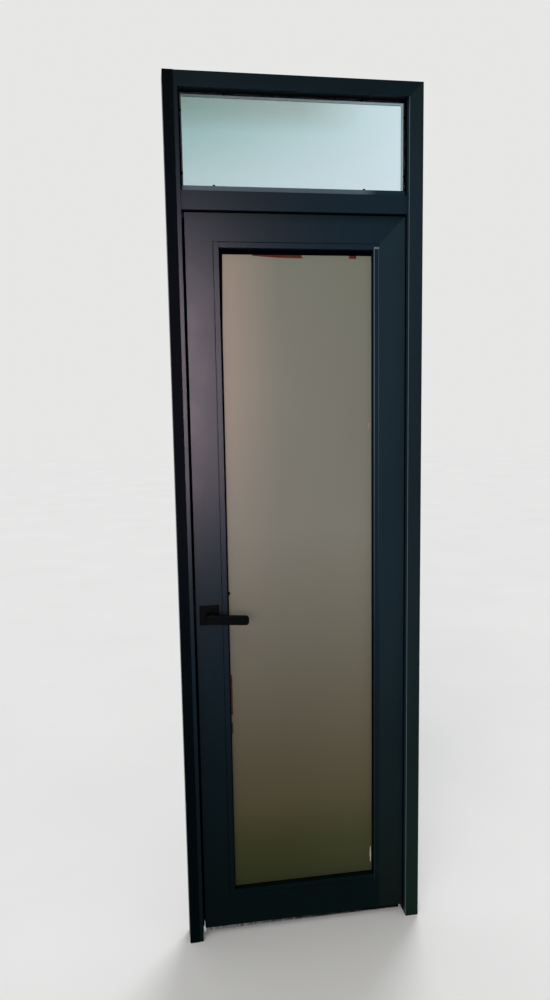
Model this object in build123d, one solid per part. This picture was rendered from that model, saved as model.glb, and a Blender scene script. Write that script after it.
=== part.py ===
"""Glass entrance door: a hinged leaf in an aluminium frame, with a fixed fanlight above the mid rail.

X runs along the door from the lock side to the hinge side, Y from the viewer's side to the far side, Z up.
The origin is on the floor, in the middle of the frame's width and of the leaf's thickness.
All sizes are millimetres.
"""
import os

from build123d import *

os.makedirs("parts", exist_ok=True)

# Frame
frame_width = 715.0
frame_height = 2480.0
frame_face = 40.0
wall = 1.8
arris = 0.8
fanlight_height = 258.0
mid_rail_height = 50.0
mid_rail_recess = 14.0
cover_strip_width = 29.0
cover_strip_thickness = 1.5
frame_cleat_leg = 70.0
leaf_cleat_leg = 80.0
connector_length = 40.0

# Leaf and the gaps around it
leaf_depth = 50.0
leaf_recess = 22.0
lock_gap = 8.0
hinge_gap = 4.0
top_gap = 5.0
floor_gap = 27.0
flange_reach = 16.0
flange_thickness = 7.0
closing_gap = 3.0
stile_face = 76.0
bottom_rail_face = 98.0

# Grooves of the extrusions
groove_depth = 3.0
seal_groove_width = 4.0
seal_groove_inset = 1.0
bead_groove_width = 3.0
leaf_bead_groove_from_front = 6.0
frame_bead_groove_from_rear = 7.0
brush_groove_width = 12.0
brush_groove_depth = 10.0

# Glazing
pane_thickness = 4.0
cavity = 16.0
spacer_width = 12.0
spacer_inset = 5.0
edge_clearance = 5.0
leaf_foot_clearance = 4.0
leaf_head_clearance = 10.0
setting_block_length = 80.0
leaf_bead_width = 16.0
leaf_bead_depth = 14.0
bead_wall = 1.2
bead_shadow_gap = 1.0
gasket_thickness = 3.0
gasket_lip = 3.0
fanlight_gasket_width = 5.5
fanlight_gasket_thickness = 4.0
gasket_root_gap = 1.0
fanlight_bead_width = 6.0
fanlight_spacer_inset = 0.5
fanlight_spacer_width = 4.0
fanlight_stop_height = 14.0
packer_length = 30.0
packer_tip_length = 8.0
packer_tip_reach = 9.0
packer_tip_thickness = 1.6
top_packer_insets = (125.5, 127.0)
bottom_packer_insets = (92.5, 119.0)
side_packer_inset = 50.0

# Seals
seal_thickness = 2.5
seal_depth = 9.0
seal_floor_gap = 10.0
overlap_seal_width = 6.0
overlap_seal_offset = 2.0
seal_clearance = 0.3
brush_holder_wall = 1.5
brush_holder_drop = 8.0
brush_floor_gap = 0.8
brush_tip_share = 0.6
brush_end_gap = 2.0

# Lever set
spindle_height = 1006.0
backset = 38.0
rose_size = 56.0
rose_thickness = 9.0
rose_wall = 2.5
neck_radius = 9.5
neck_flare_radius = 12.5
neck_flare_length = 8.0
lever_length = 121.0
lever_tail = 12.0
lever_height = 27.0
lever_thickness = 10.0
lever_projection = 59.0
lever_tip_radius = 9.0
lever_tail_radius = 2.0
lever_front_edge = 1.6
lever_back_edge = 1.2
rose_corner = 1.2
rose_edge = 1.5
neck_end_gap = 1.0
spindle_side = 8.0
spindle_bite = 6.0
socket_gap = 0.05
socket_end_gap = 0.5
turning_clearance = 0.3
rose_bolt_offset = 21.0
rose_bolt_radius = 2.5
rose_bolt_head_radius = 4.0
rose_bolt_head_height = 3.5

# Lock
case_below = 60.0
case_above = 45.0
case_reach = 60.0
case_thickness = 16.0
case_wall = 1.5
faceplate_width = 22.0
faceplate_thickness = 3.0
faceplate_below = 90.0
faceplate_above = 75.0
latch_throw = 11.0
latch_sweep = 1.7
latch_pocket_gap = 0.8
latch_pocket_height_gap = 1.6
latch_thickness = 12.0
latch_low = 2.0
latch_high = 22.0
latch_inside = 10.0
latch_nose = 2.0
latch_shoulder = 1.0
latch_mouth_gap = 0.4
plate_corner = 3.0
follower_radius = 10.0
follower_hub_radius = 7.5
follower_hub_stand = 0.5
finger_margin = 0.5
finger_reach = 15.0
finger_width = 6.0
tail_thickness = 5.0
tail_low = 15.6
tail_high = 18.0
hook_low = 10.6
hook_gap = 0.3
hook_length = 4.0
strike_width = 24.0
strike_thickness = 2.5
strike_below = 58.0
strike_above = 82.0

# Hinges
hinge_inset = 233.0
hinge_axis_beyond_flange = 5.5
hinge_axis_behind_leaf = 11.0
knuckle_radius = 9.0
knuckle_length = 32.0
knuckle_gap = 0.6
pin_radius = 5.0
pin_clearance = 0.05
pin_head_radius = 8.0
pin_head_height = 3.0
wing_thickness = 4.5
frame_wing_thickness = 5.0
leaf_wing_length = 50.0
wing_corner = 6.0
wing_margin = 0.5
knuckle_relief = 4.0
arm_offset = 3.0
arm_embed = 2.0
web_step = 1.5
frame_screw_inset = 5.5
leaf_screw_inset = 15.0
screw_spread = 36.0

# Fasteners
screw_radius = 2.0
screw_head_radius = 3.5
screw_head_height = 1.8
screw_length = 9.0
screw_clearance = 0.1
plate_screw_inset = 12.0
fixing_from_floor = 200.0
fixing_from_top = 240.0
fixing_behind_middle = 12.0
fixing_count = 4
fixing_hole_radius = 4.25
fixing_access_radius = 8.0
fit = 0.2

# Places that follow from the sizes
left_outer = -frame_width / 2
right_outer = frame_width / 2
left_inner = left_outer + frame_face
right_inner = right_outer - frame_face
head_underside = frame_height - frame_face
mid_top = head_underside - fanlight_height
mid_rail_underside = mid_top - mid_rail_height
leaf_left = left_inner + lock_gap
leaf_right = right_inner - hinge_gap
leaf_bottom = floor_gap
leaf_top = mid_rail_underside - top_gap
leaf_front = -leaf_depth / 2
leaf_rear = leaf_depth / 2
frame_front = leaf_front - leaf_recess
frame_rear = leaf_rear - flange_thickness - closing_gap
frame_depth = frame_rear - frame_front
mid_front = frame_front + mid_rail_recess
unit_thickness = 2 * pane_thickness + cavity
sightline = stile_face + leaf_bead_width
leaf_glass_front = leaf_front + leaf_bead_depth + gasket_thickness
leaf_glass_rear = leaf_glass_front + unit_thickness
lip_front = leaf_glass_rear + gasket_thickness
fanlight_glass_front = leaf_front + fanlight_gasket_thickness
fanlight_glass_rear = fanlight_glass_front + unit_thickness
fanlight_bead_front = fanlight_glass_rear + gasket_thickness
bottom_rail_top = leaf_bottom + bottom_rail_face
seal_groove_front = leaf_front + seal_groove_inset
seal_groove_rear = seal_groove_front + seal_groove_width
bead_groove_front = frame_rear - frame_bead_groove_from_rear
bead_groove_rear = bead_groove_front + bead_groove_width
spindle_x = leaf_left + backset
hinge_x = leaf_right + flange_reach + hinge_axis_beyond_flange
hinge_y = leaf_rear + hinge_axis_behind_leaf
hinge_low, hinge_high = leaf_bottom + hinge_inset, leaf_top - hinge_inset
hinge_heights = (hinge_low, (hinge_low + hinge_high) / 2, hinge_high)
fixing_pitch = (frame_height - fixing_from_floor - fixing_from_top) / (fixing_count - 1)
fixing_heights = [fixing_from_floor + i * fixing_pitch for i in range(fixing_count)]
on_base = (Align.CENTER, Align.CENTER, Align.MIN)

parts = {}


def outline(points):
    """Face with straight edges through the points."""
    return make_face(Polyline(*points, close=True))


def section(outer, chambers=(), rounded=()):
    """Cross-section of an extrusion: first number inwards from its edge, second from front to rear."""
    face = outline(outer)
    corners = [v for v in face.vertices() if any(abs(v.X - u) + abs(v.Y - w) < 1e-6 for u, w in rounded)]
    if corners:
        face = fillet(corners, arris)
    for chamber in chambers:
        face -= outline(chamber)
    return face


def bar(face, side, edge, front, start, end):
    """Extrude a section along one side of a rectangle, whose outer line on that side is edge."""
    planes = {
        "left": Plane(origin=(edge, front, start), x_dir=(1, 0, 0), z_dir=(0, 0, 1)),
        "right": Plane(origin=(edge, front, end), x_dir=(-1, 0, 0), z_dir=(0, 0, -1)),
        "top": Plane(origin=(start, front, edge), x_dir=(0, 0, -1), z_dir=(1, 0, 0)),
        "bottom": Plane(origin=(end, front, edge), x_dir=(0, 0, 1), z_dir=(-1, 0, 0)),
    }
    return extrude(planes[side] * face, end - start)


def prism(points, front, rear):
    """Solid whose outline lies in the door's plane, from front to rear."""
    return extrude(Plane.XZ.offset(-rear) * outline(points), rear - front)


def block(x0, x1, y0, y1, z0, z1):
    """Box between two corners."""
    centre = Pos((x0 + x1) / 2, (y0 + y1) / 2, (z0 + z1) / 2)
    return centre * Box(x1 - x0, y1 - y0, z1 - z0)


def rod(radius, start, direction, length):
    """Cylinder from a point along a direction."""
    return Plane(origin=start, z_dir=direction) * Cylinder(radius, length, align=on_base)


def ring(x0, x1, z0, z1, width, y0, y1):
    """Rectangular ring of one width."""
    hole = block(x0 + width, x1 - width, y0 - 1, y1 + 1, z0 + width, z1 - width)
    return block(x0, x1, y0, y1, z0, z1) - hole


def arch(x0, x1, z0, z1, width, y0, y1):
    """Band along the two sides and the top, open at the foot."""
    hole = block(x0 + width, x1 - width, y0 - 1, y1 + 1, z0 - 1, z1 - width)
    return block(x0, x1, y0, y1, z0, z1) - hole


def mitre_cut(corner_x, corner_z, inward, part_side):
    """Prism on one side of the 45 degree line that runs inwards and down from a top corner."""
    reach = 3 * (stile_face + flange_reach)
    high = (corner_x - inward * reach, corner_z + reach)
    low = (corner_x + inward * reach, corner_z - reach)
    tip = {
        "upright": (corner_x + inward * reach, corner_z + reach),
        "rail": (corner_x - inward * reach, corner_z - reach),
    }
    return prism([high, low, tip[part_side]], frame_front - 5, leaf_rear + 5)


def screw(point, direction, length=screw_length, grow=0.0):
    """Countersunk screw, or with grow the hole that it needs."""
    head = Cone(screw_head_radius + grow, screw_radius + grow, screw_head_height, align=on_base)
    shank = Cylinder(screw_radius + grow, length, align=on_base)
    return Plane(origin=point, z_dir=direction) * (head + shank)


def screw_hole(point, direction, length=screw_length):
    return screw(point, direction, length + screw_clearance, screw_clearance)


def frame_section():
    """Jamb and head: a tube with a seal groove and a bead groove on the inner side."""
    face, depth, deep = frame_face, frame_depth, frame_face - groove_depth
    seal0, seal1 = seal_groove_front - frame_front, seal_groove_rear - frame_front
    bead0, bead1 = bead_groove_front - frame_front, bead_groove_rear - frame_front
    outer = [
        (0, 0), (face, 0), (face, seal0), (deep, seal0), (deep, seal1), (face, seal1),
        (face, bead0), (deep, bead0), (deep, bead1), (face, bead1), (face, depth), (0, depth),
    ]
    far, back = face - wall, depth - wall
    step = deep - wall
    web_rear = seal0 - wall
    front_chamber = [(wall, wall), (far, wall), (far, web_rear - wall), (wall, web_rear - wall)]
    rear_chamber = [
        (wall, web_rear), (step, web_rear), (step, seal1 + wall), (far, seal1 + wall),
        (far, bead0 - wall), (step, bead0 - wall), (step, back), (wall, back),
    ]
    return section(outer, [front_chamber, rear_chamber], [(0, 0), (face, 0), (0, depth), (face, depth)])


def mid_section():
    """Mid rail: a tube with grooves above for the fanlight and below for the leaf's seal."""
    high, depth, deep = mid_rail_height, frame_rear - mid_front, mid_rail_height - groove_depth
    seal0, seal1 = seal_groove_front - mid_front, seal_groove_rear - mid_front
    bead0, bead1 = bead_groove_front - mid_front, bead_groove_rear - mid_front
    outer = [
        (0, 0), (high, 0), (high, seal0), (deep, seal0), (deep, seal1), (high, seal1),
        (high, bead0), (deep, bead0), (deep, bead1), (high, bead1), (high, depth), (0, depth),
        (0, seal1), (groove_depth, seal1), (groove_depth, seal0), (0, seal0),
    ]
    upper, back = high - wall, depth - wall
    low_step, high_step = groove_depth + wall, deep - wall
    chamber = [
        (wall, wall), (upper, wall), (upper, seal0 - wall), (high_step, seal0 - wall),
        (high_step, seal1 + wall), (upper, seal1 + wall), (upper, bead0 - wall), (high_step, bead0 - wall),
        (high_step, back), (wall, back), (wall, seal1 + wall), (low_step, seal1 + wall),
        (low_step, seal0 - wall), (wall, seal0 - wall),
    ]
    return section(outer, [chamber], [(0, 0), (high, 0), (0, depth), (high, depth)])


def leaf_profile(face, with_flange):
    """Outer line of a leaf extrusion from its outer edge to the lip behind the glass."""
    bead0 = leaf_bead_groove_from_front
    bead1 = bead0 + bead_groove_width
    lip = lip_front - leaf_front
    sight = face + leaf_bead_width
    points = [
        (0, 0), (face, 0), (face, bead0), (face - groove_depth, bead0), (face - groove_depth, bead1),
        (face, bead1), (face, lip), (sight, lip), (sight, leaf_depth),
    ]
    if with_flange:
        front = leaf_depth - flange_thickness
        middle = -flange_reach / 2 - overlap_seal_offset
        far, near = middle - seal_groove_width / 2, middle + seal_groove_width / 2
        points += [
            (-flange_reach, leaf_depth), (-flange_reach, front), (far, front), (far, front + groove_depth),
            (near, front + groove_depth), (near, front), (0, front),
        ]
    else:
        low, high = (leaf_depth - brush_groove_width) / 2, (leaf_depth + brush_groove_width) / 2
        points += [
            (0, leaf_depth), (0, high), (brush_groove_depth, high), (brush_groove_depth, low), (0, low),
        ]
    return points


def leaf_section():
    """Stile and top rail: two chambers, a bead groove, the glass lip and the lapping flange."""
    face, back, middle = stile_face, leaf_depth - wall, stile_face / 2
    step = face - groove_depth - wall
    step_end = leaf_bead_groove_from_front + bead_groove_width + wall
    outer_chamber = [(wall, wall), (middle - wall / 2, wall), (middle - wall / 2, back), (wall, back)]
    inner_chamber = [
        (middle + wall / 2, wall), (step, wall), (step, step_end), (face - wall, step_end),
        (face - wall, back), (middle + wall / 2, back),
    ]
    rounded = [(0, 0), (face, 0), (-flange_reach, leaf_depth), (sightline, leaf_depth)]
    return section(leaf_profile(face, True), [outer_chamber, inner_chamber], rounded)


def bottom_section():
    """Bottom rail: taller, with a groove for the brush holder in place of the flange."""
    face, back, middle = bottom_rail_face, leaf_depth - wall, bottom_rail_face / 2
    step = face - groove_depth - wall
    step_end = leaf_bead_groove_from_front + bead_groove_width + wall
    low = (leaf_depth - brush_groove_width) / 2 - wall
    high = (leaf_depth + brush_groove_width) / 2 + wall
    over_groove = brush_groove_depth + wall
    lower_chamber = [
        (wall, wall), (middle - wall / 2, wall), (middle - wall / 2, back), (wall, back),
        (wall, high), (over_groove, high), (over_groove, low), (wall, low),
    ]
    upper_chamber = [
        (middle + wall / 2, wall), (step, wall), (step, step_end), (face - wall, step_end),
        (face - wall, back), (middle + wall / 2, back),
    ]
    rounded = [(0, 0), (face, 0), (face + leaf_bead_width, leaf_depth)]
    return section(leaf_profile(face, False), [lower_chamber, upper_chamber], rounded)


def leaf_bead_section(face):
    """Front bead: a hollow box with a foot that hooks into the groove."""
    start, end = face + bead_shadow_gap, face + leaf_bead_width
    hook0 = leaf_bead_groove_from_front + fit
    hook1 = leaf_bead_groove_from_front + bead_groove_width - fit
    foot = face - groove_depth + fit
    outer = [
        (start, 0), (end, 0), (end, leaf_bead_depth), (start, leaf_bead_depth),
        (start, hook1), (foot, hook1), (foot, hook0), (start, hook0),
    ]
    chamber = [
        (start + bead_wall, bead_wall), (end - bead_wall, bead_wall),
        (end - bead_wall, leaf_bead_depth - bead_wall), (start + bead_wall, leaf_bead_depth - bead_wall),
    ]
    return section(outer, [chamber], [(start, 0), (end, 0)])


def fanlight_bead_section():
    """Rear bead of the fanlight: a slim bar with a foot in the frame's groove."""
    depth = frame_rear - fanlight_bead_front
    hook0 = bead_groove_front - fanlight_bead_front + fit
    hook1 = hook0 + bead_groove_width - 2 * fit
    foot = -groove_depth + fit
    outer = [
        (0, 0), (fanlight_bead_width, 0), (fanlight_bead_width, depth), (0, depth),
        (0, hook1), (foot, hook1), (foot, hook0), (0, hook0),
    ]
    return section(outer, rounded=[(fanlight_bead_width, depth)])


def strike_cuts():
    """Latch pocket, open to the rear for the latch's swing, and screw holes in the lock jamb."""
    depth = latch_throw + faceplate_thickness - lock_gap + latch_sweep
    pocket = block(
        left_inner - depth, left_inner + strike_thickness + 1,
        -latch_thickness / 2 - latch_pocket_gap, frame_rear + 1,
        spindle_height + latch_low - latch_pocket_height_gap,
        spindle_height + latch_high + latch_pocket_height_gap,
    )
    return [pocket] + [screw_hole(point, (-1, 0, 0)) for point in strike_screw_points()]


def strike_screw_points():
    x = left_inner + strike_thickness
    low, high = spindle_height - strike_below, spindle_height + strike_above
    return [(x, 0, low + plate_screw_inset), (x, 0, high - plate_screw_inset)]


def hinge_screw_points():
    """Screw places of one hinge: on the frame's rear face and on the leaf's."""
    frame_x = right_outer - frame_screw_inset
    leaf_x = hinge_x - leaf_wing_length + leaf_screw_inset
    frame_y = frame_rear + frame_wing_thickness
    leaf_y = leaf_rear + wing_thickness
    heights = [z + dz for z in hinge_heights for dz in (-screw_spread, 0, screw_spread)]
    return [(frame_x, frame_y, z) for z in heights], [(leaf_x, leaf_y, z) for z in heights]


def make_frame():
    """Jambs, head and mid rail with their fixings and cover strip."""
    face = frame_section()
    lock_jamb = bar(face, "left", left_outer, frame_front, 0, frame_height)
    hinge_jamb = bar(face, "right", right_outer, frame_front, 0, frame_height)
    head = bar(face, "top", frame_height, frame_front, left_outer, right_outer)
    lock_jamb -= mitre_cut(left_outer, frame_height, 1, "upright")
    hinge_jamb -= mitre_cut(right_outer, frame_height, -1, "upright")
    head -= mitre_cut(left_outer, frame_height, 1, "rail")
    head -= mitre_cut(right_outer, frame_height, -1, "rail")
    hole_y = (frame_front + frame_rear) / 2 + fixing_behind_middle
    for z in fixing_heights:
        for outer, inward in ((left_outer, 1), (right_outer, -1)):
            hole = rod(fixing_hole_radius, (outer - inward, hole_y, z), (inward, 0, 0), frame_face / 2)
            access = rod(fixing_access_radius, (outer + inward * frame_face / 2, hole_y, z),
                         (inward, 0, 0), frame_face / 2 + 1)
            if inward > 0:
                lock_jamb -= hole + access
            else:
                hinge_jamb -= hole + access
    for cut in strike_cuts():
        lock_jamb -= cut
    for point in hinge_screw_points()[0]:
        hinge_jamb -= screw_hole(point, (0, -1, 0))
    mid_rail = bar(mid_section(), "bottom", mid_rail_underside, mid_front, left_inner, right_inner)
    parts["lock_jamb"] = lock_jamb
    parts["hinge_jamb"] = hinge_jamb
    parts["head_rail"] = head
    parts["mid_rail"] = mid_rail
    strip_right = left_outer + cover_strip_width
    strip = block(left_outer, strip_right, frame_front - cover_strip_thickness, frame_front, 0, frame_height)
    front_edges = strip.edges().filter_by(Axis.Z).group_by(Axis.Y)[0]
    parts["lock_side_cover_strip"] = fillet(front_edges, arris)


def corner_cleat(corner_x, corner_z, inward, near, far, arm, front, rear):
    """L-shaped block in a mitred corner, between two distances from the outer edges."""
    steps = [(near, near), (arm, near), (arm, far), (far, far), (far, arm), (near, arm)]
    points = [(corner_x + inward * across, corner_z - down) for across, down in steps]
    return prism(points, front, rear)


def make_connectors():
    """Corner cleats and the blocks inside the butt joints."""
    near = wall + fit
    frame_far = frame_face - groove_depth - wall - fit
    seal_rear = seal_groove_rear + wall + fit
    cleat_rear = bead_groove_front - wall - fit
    parts["frame_corner_cleats"] = Compound(children=[
        corner_cleat(x, frame_height, inward, near, frame_far, frame_cleat_leg, seal_rear, cleat_rear)
        for x, inward in ((left_outer, 1), (right_outer, -1))
    ])
    leaf_far = stile_face / 2 - wall / 2 - fit
    parts["leaf_corner_cleats"] = Compound(children=[
        corner_cleat(x, leaf_top, inward, near, leaf_far, leaf_cleat_leg,
                     leaf_front + near, leaf_rear - near)
        for x, inward in ((leaf_left, 1), (leaf_right, -1))
    ])
    low = mid_rail_underside + groove_depth + wall + fit
    high = mid_top - groove_depth - wall - fit
    depth = connector_length
    parts["mid_rail_connectors"] = Compound(children=[
        block(x, x + depth, mid_front + near, frame_rear - near, low, high)
        for x in (left_inner, right_inner - depth)
    ])
    low = leaf_bottom + brush_groove_depth + wall + fit
    high = leaf_bottom + bottom_rail_face / 2 - wall / 2 - fit
    parts["bottom_rail_connectors"] = Compound(children=[
        block(x, x + depth, leaf_front + near, leaf_rear - near, low, high)
        for x in (leaf_left + stile_face, leaf_right - stile_face - depth)
    ])


def make_fanlight():
    """Fixed glazing above the mid rail."""
    glass = (left_inner + edge_clearance, right_inner - edge_clearance,
             mid_top + edge_clearance, head_underside - edge_clearance)
    x0, x1, z0, z1 = glass
    front, rear = fanlight_glass_front, fanlight_glass_rear
    parts["fanlight_inner_pane"] = block(x0, x1, front, front + pane_thickness, z0, z1)
    parts["fanlight_outer_pane"] = block(x0, x1, rear - pane_thickness, rear, z0, z1)
    inset = fanlight_spacer_inset
    parts["fanlight_spacer"] = ring(x0 + inset, x1 - inset, z0 + inset, z1 - inset, fanlight_spacer_width,
                                    front + pane_thickness, rear - pane_thickness)
    gasket = arch(left_inner, right_inner, mid_top, head_underside, fanlight_gasket_width, leaf_front, front)
    root = arch(left_inner - groove_depth + fit, right_inner + groove_depth - fit, mid_top,
                head_underside + groove_depth - fit, groove_depth, seal_groove_front + fit,
                seal_groove_rear - gasket_root_gap - fit)
    parts["fanlight_front_gasket"] = gasket + root
    stop = block(left_inner + fanlight_gasket_width, right_inner - fanlight_gasket_width,
                 leaf_front, front, mid_top, mid_top + fanlight_stop_height)
    stop_root = block(left_inner + fanlight_gasket_width, right_inner - fanlight_gasket_width,
                      seal_groove_front + fit, front - fit, mid_top - groove_depth + fit, mid_top)
    parts["fanlight_bottom_stop"] = stop + stop_root
    packers, notches = make_packers()
    rear_gasket = ring(left_inner, right_inner, mid_top, head_underside, fanlight_bead_width,
                       rear, fanlight_bead_front)
    for notch in notches:
        rear_gasket -= notch
    parts["fanlight_rear_gasket"] = rear_gasket
    parts["fanlight_packers"] = Compound(children=packers)
    bead = fanlight_bead_section()
    y = fanlight_bead_front
    inset = fanlight_bead_width
    parts["fanlight_bead_lock_side"] = bar(bead, "left", left_inner, y, mid_top, head_underside)
    parts["fanlight_bead_hinge_side"] = bar(bead, "right", right_inner, y, mid_top, head_underside)
    x0, x1 = left_inner + inset, right_inner - inset
    parts["fanlight_bead_top"] = bar(bead, "top", head_underside, y, x0, x1)
    parts["fanlight_bead_bottom"] = bar(bead, "bottom", mid_top, y, x0, x1)


def make_packers():
    """Eight glazing packers with a tip behind the glass, and the notches that the tips need."""
    glass_front, glass_rear = fanlight_glass_front, fanlight_glass_rear
    tip_rear = glass_rear + packer_tip_thickness
    packers, notches = [], []

    def add(x0, x1, z0, z1, tip):
        packers.append(block(x0, x1, glass_front, glass_rear, z0, z1) + block(*tip))
        slack = (-fit, fit, -1, fit, -fit, fit)
        notches.append(block(*[value + extra for value, extra in zip(tip, slack)]))

    half, tip_half = packer_length / 2, packer_tip_length / 2
    for x in (left_inner + top_packer_insets[0], right_inner - top_packer_insets[1]):
        add(x - half, x + half, head_underside - edge_clearance, head_underside,
            (x - tip_half, x + tip_half, glass_rear, tip_rear,
             head_underside - packer_tip_reach, head_underside))
    for x in (left_inner + bottom_packer_insets[0], right_inner - bottom_packer_insets[1]):
        add(x - half, x + half, mid_top, mid_top + edge_clearance,
            (x - tip_half, x + tip_half, glass_rear, tip_rear, mid_top, mid_top + packer_tip_reach))
    for z in (mid_top + side_packer_inset, head_underside - side_packer_inset):
        add(left_inner, left_inner + edge_clearance, z - half, z + half,
            (left_inner, left_inner + packer_tip_reach, glass_rear, tip_rear, z - tip_half, z + tip_half))
        add(right_inner - edge_clearance, right_inner, z - half, z + half,
            (right_inner - packer_tip_reach, right_inner, glass_rear, tip_rear, z - tip_half, z + tip_half))
    return packers, notches


def make_frame_seal():
    """Rubber seal round the leaf opening, rooted in the frame's groove."""
    seal = arch(left_inner, right_inner, seal_floor_gap, mid_rail_underside, seal_thickness,
                leaf_front, leaf_front + seal_depth)
    root = arch(left_inner - groove_depth + fit, right_inner + groove_depth - fit, seal_floor_gap,
                mid_rail_underside + groove_depth - fit, groove_depth,
                seal_groove_front + fit, seal_groove_rear - fit)
    parts["rebate_seal"] = seal + root


def make_strike():
    """Strike plate on the lock jamb."""
    x0, x1 = left_inner, left_inner + strike_thickness
    half = strike_width / 2
    plate = block(x0, x1, -half, half, spindle_height - strike_below, spindle_height + strike_above)
    plate = fillet(plate.edges().filter_by(Axis.X), plate_corner)
    for cut in strike_cuts():
        plate -= cut
    parts["strike_plate"] = plate


def route_lock_stile(stile):
    """Openings in the lock stile for the lock case, the spindle, the bolts and the screws."""
    half = case_thickness / 2 + fit
    z = spindle_height
    stile -= block(leaf_left - 1, leaf_left + case_reach + wall + fit, -half, half,
                   z - case_below - fit, z + case_above + fit)
    stile -= rod(follower_hub_radius + follower_hub_stand, (spindle_x, leaf_front - 1, z),
                 (0, 1, 0), leaf_depth + 2)
    for dz in (-rose_bolt_offset, rose_bolt_offset):
        stile -= rod(rose_bolt_radius + turning_clearance, (spindle_x, leaf_front - 1, z + dz),
                     (0, 1, 0), leaf_depth + 2)
    for point in faceplate_screw_points():
        stile -= screw_hole(point, (1, 0, 0))
    return stile


def faceplate_screw_points():
    x = leaf_left - faceplate_thickness
    low, high = spindle_height - faceplate_below, spindle_height + faceplate_above
    return [(x, 0, low + plate_screw_inset), (x, 0, high - plate_screw_inset)]


def make_leaf():
    """Stiles and rails of the leaf."""
    face = leaf_section()
    flange_top = leaf_top + flange_reach
    lock_stile = bar(face, "left", leaf_left, leaf_front, leaf_bottom, flange_top)
    hinge_stile = bar(face, "right", leaf_right, leaf_front, leaf_bottom, flange_top)
    top_rail = bar(face, "top", leaf_top, leaf_front, leaf_left - flange_reach, leaf_right + flange_reach)
    lock_stile -= mitre_cut(leaf_left, leaf_top, 1, "upright")
    hinge_stile -= mitre_cut(leaf_right, leaf_top, -1, "upright")
    top_rail -= mitre_cut(leaf_left, leaf_top, 1, "rail")
    top_rail -= mitre_cut(leaf_right, leaf_top, -1, "rail")
    bottom_rail = bar(bottom_section(), "bottom", leaf_bottom, leaf_front,
                      leaf_left + stile_face, leaf_right - stile_face)
    lip_top = bottom_rail_top + leaf_bead_width
    half = brush_groove_width / 2
    groove = block(leaf_left - 1, leaf_right + 1, -half, half,
                   leaf_bottom - 1, leaf_bottom + brush_groove_depth)
    lock_lip = block(leaf_left + stile_face, leaf_left + sightline + 1, lip_front - 1, leaf_rear + 1,
                     leaf_bottom - 1, lip_top)
    hinge_lip = block(leaf_right - sightline - 1, leaf_right - stile_face, lip_front - 1, leaf_rear + 1,
                      leaf_bottom - 1, lip_top)
    lock_stile = lock_stile - groove - lock_lip
    hinge_stile = hinge_stile - groove - hinge_lip
    for point in hinge_screw_points()[1]:
        hinge_stile -= screw_hole(point, (0, -1, 0))
    parts["lock_stile"] = route_lock_stile(lock_stile)
    parts["hinge_stile"] = hinge_stile
    parts["leaf_top_rail"] = top_rail
    parts["leaf_bottom_rail"] = bottom_rail


def make_leaf_glazing():
    """Double glazed unit of the leaf with its gaskets, beads and setting blocks."""
    x0, x1 = leaf_left + stile_face + edge_clearance, leaf_right - stile_face - edge_clearance
    z0, z1 = bottom_rail_top + leaf_foot_clearance, leaf_top - stile_face - leaf_head_clearance
    front, rear = leaf_glass_front, leaf_glass_rear
    parts["leaf_inner_pane"] = block(x0, x1, front, front + pane_thickness, z0, z1)
    parts["leaf_outer_pane"] = block(x0, x1, rear - pane_thickness, rear, z0, z1)
    inset = spacer_inset
    parts["leaf_spacer"] = ring(x0 + inset, x1 - inset, z0 + inset, z1 - inset, spacer_width,
                                front + pane_thickness, rear - pane_thickness)
    opening = block(leaf_left + sightline + gasket_lip, leaf_right - sightline - gasket_lip,
                    leaf_front, leaf_rear, bottom_rail_top + leaf_bead_width + gasket_lip,
                    leaf_top - sightline - gasket_lip)
    parts["leaf_front_gasket"] = block(x0, x1, front - gasket_thickness, front, z0, z1) - opening
    parts["leaf_rear_gasket"] = block(x0, x1, rear, rear + gasket_thickness, z0, z1) - opening
    side_bead = leaf_bead_section(stile_face)
    foot_bead = leaf_bead_section(bottom_rail_face)
    top, foot = leaf_top - stile_face - bead_shadow_gap, bottom_rail_top + bead_shadow_gap
    parts["leaf_bead_lock_side"] = bar(side_bead, "left", leaf_left, leaf_front, foot, top)
    parts["leaf_bead_hinge_side"] = bar(side_bead, "right", leaf_right, leaf_front, foot, top)
    parts["leaf_bead_top"] = bar(side_bead, "top", leaf_top, leaf_front,
                                 leaf_left + sightline, leaf_right - sightline)
    parts["leaf_bead_bottom"] = bar(foot_bead, "bottom", leaf_bottom, leaf_front,
                                    leaf_left + sightline, leaf_right - sightline)
    length = setting_block_length
    blocks = []
    for x in (x0 + length, x1 - 2 * length):
        blocks.append(block(x, x + length, front, rear, bottom_rail_top, z0))
        blocks.append(block(x, x + length, front, rear, z1, leaf_top - stile_face))
    for z in (z0 + length, z1 - 2 * length):
        blocks.append(block(x0 - edge_clearance, x0, front, rear, z, z + length))
        blocks.append(block(x1, x1 + edge_clearance, front, rear, z, z + length))
    parts["leaf_setting_blocks"] = Compound(children=blocks)


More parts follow.
